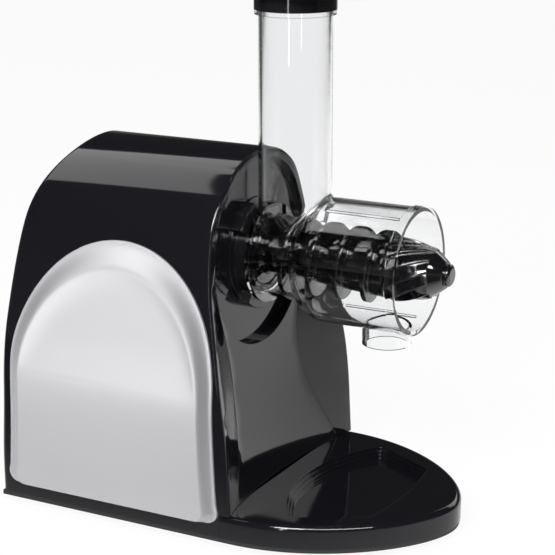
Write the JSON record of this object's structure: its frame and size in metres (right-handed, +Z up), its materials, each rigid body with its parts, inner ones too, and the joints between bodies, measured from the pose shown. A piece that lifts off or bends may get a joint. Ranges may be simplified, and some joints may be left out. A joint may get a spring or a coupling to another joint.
{
  "type": "cold press juicer",
  "caption": "Horizontal slow juicer with an arched housing, satin side panels, a clear juicing drum with feed tube, tray and outlet, and a black auger.",
  "frame": {"origin": "centre of the footprint box, on the table under the feet", "axes": "+X from the housing towards the drum's open front, +Y away from the user, +Z up"},
  "size_m": [0.3152, 0.1946, 0.377],
  "materials": {
    "shell_black": "gloss black",
    "panel_silver": "satin silver",
    "hub_black": "gloss black",
    "auger_black": "gloss black",
    "drum_clear": "clear, smoke-free",
    "tray_black": "gloss black",
    "floor_black": "fine grain",
    "foot_rubber": "matte",
    "seal_silicone": "translucent silicone",
    "bush_bronze": "sintered",
    "shaft_steel": "ground",
    "gear_nylon": "moulded nylon",
    "case_nylon": "glass-filled",
    "lamination_steel": "laminated",
    "coil_copper": "enamelled copper wire",
    "bracket_aluminium": "die cast",
    "screw_steel": "zinc plated",
    "board_green": "solder mask",
    "switch_black": "fine grain"
  },
  "bodies": {
    "housing": {"body_shell": "shell_black", "front_fascia": "shell_black", "base_platform": "shell_black", "side_panel_near": "panel_silver", "side_panel_far": "panel_silver", "hub_collar": "hub_black", "shaft_seal": "seal_silicone", "front_bush": "bush_bronze", "rear_bush": "bush_bronze", "counter_pin": "shaft_steel", "gearbox_case": "case_nylon", "gearbox_cover": "case_nylon", "gearbox_screws": "screw_steel", "motor_stator": "lamination_steel", "field_coils": "coil_copper", "motor_front_bracket": "bracket_aluminium", "motor_rear_bracket": "bracket_aluminium", "motor_screws": "screw_steel", "motor_cradle": "case_nylon", "control_board": "board_green", "bottom_plate": "floor_black", "rubber_feet": "foot_rubber", "housing_screws": "screw_steel", "platform_screws": "screw_steel", "rocker_bezel": "switch_black", "cord_gland": "switch_black"},
    "drive": {"drive_shaft": "shaft_steel", "output_gear": "gear_nylon"},
    "auger": {"auger": "auger_black", "auger_drive_socket": "shaft_steel", "auger_seal": "seal_silicone"},
    "counter": {"counter_gear": "gear_nylon"},
    "motor": {"motor_shaft": "shaft_steel", "motor_rotor": "lamination_steel", "motor_pinion": "shaft_steel", "cooling_fan": "case_nylon"},
    "rocker": {"rocker_button": "switch_black"},
    "drum": {"juicing_drum": "drum_clear"},
    "tray": {"feed_tray": "tray_black"}
  },
  "joints": [
    {"name": "drum_twist", "type": "hinge", "parent": "housing", "child": "drum", "pos_m": [0.01205, 0, 0.178], "axis": [1, 0, 0], "range_deg": [-30, 0]},
    {"name": "tray_lift", "type": "slide", "parent": "drum", "child": "tray", "axis": [0, 0, 1], "range_m": [0, 0.05]},
    {"name": "drive_spin", "type": "hinge", "parent": "housing", "child": "drive", "pos_m": [-0.01795, 0, 0.178], "axis": [1, 0, 0], "continuous": true},
    {"name": "auger_pull", "type": "slide", "parent": "drive", "child": "auger", "axis": [1, 0, 0], "range_m": [0, 0.15]},
    {"name": "counter_spin", "type": "hinge", "parent": "housing", "child": "counter", "pos_m": [-0.03295, 0, 0.1416], "axis": [1, 0, 0], "continuous": true},
    {"name": "motor_spin", "type": "hinge", "parent": "housing", "child": "motor", "pos_m": [-0.08795, 0, 0.1106], "axis": [1, 0, 0], "continuous": true},
    {"name": "rocker_tilt", "type": "hinge", "parent": "housing", "child": "rocker", "pos_m": [-0.14239, 0, 0.083], "axis": [0, 1, 0], "range_deg": [0, 24]}
  ],
  "couplings": [
    {"joint": "counter_spin", "follows": "drive_spin", "ratio": -3.6667},
    {"joint": "motor_spin", "follows": "drive_spin", "ratio": 15.278}
  ]
}
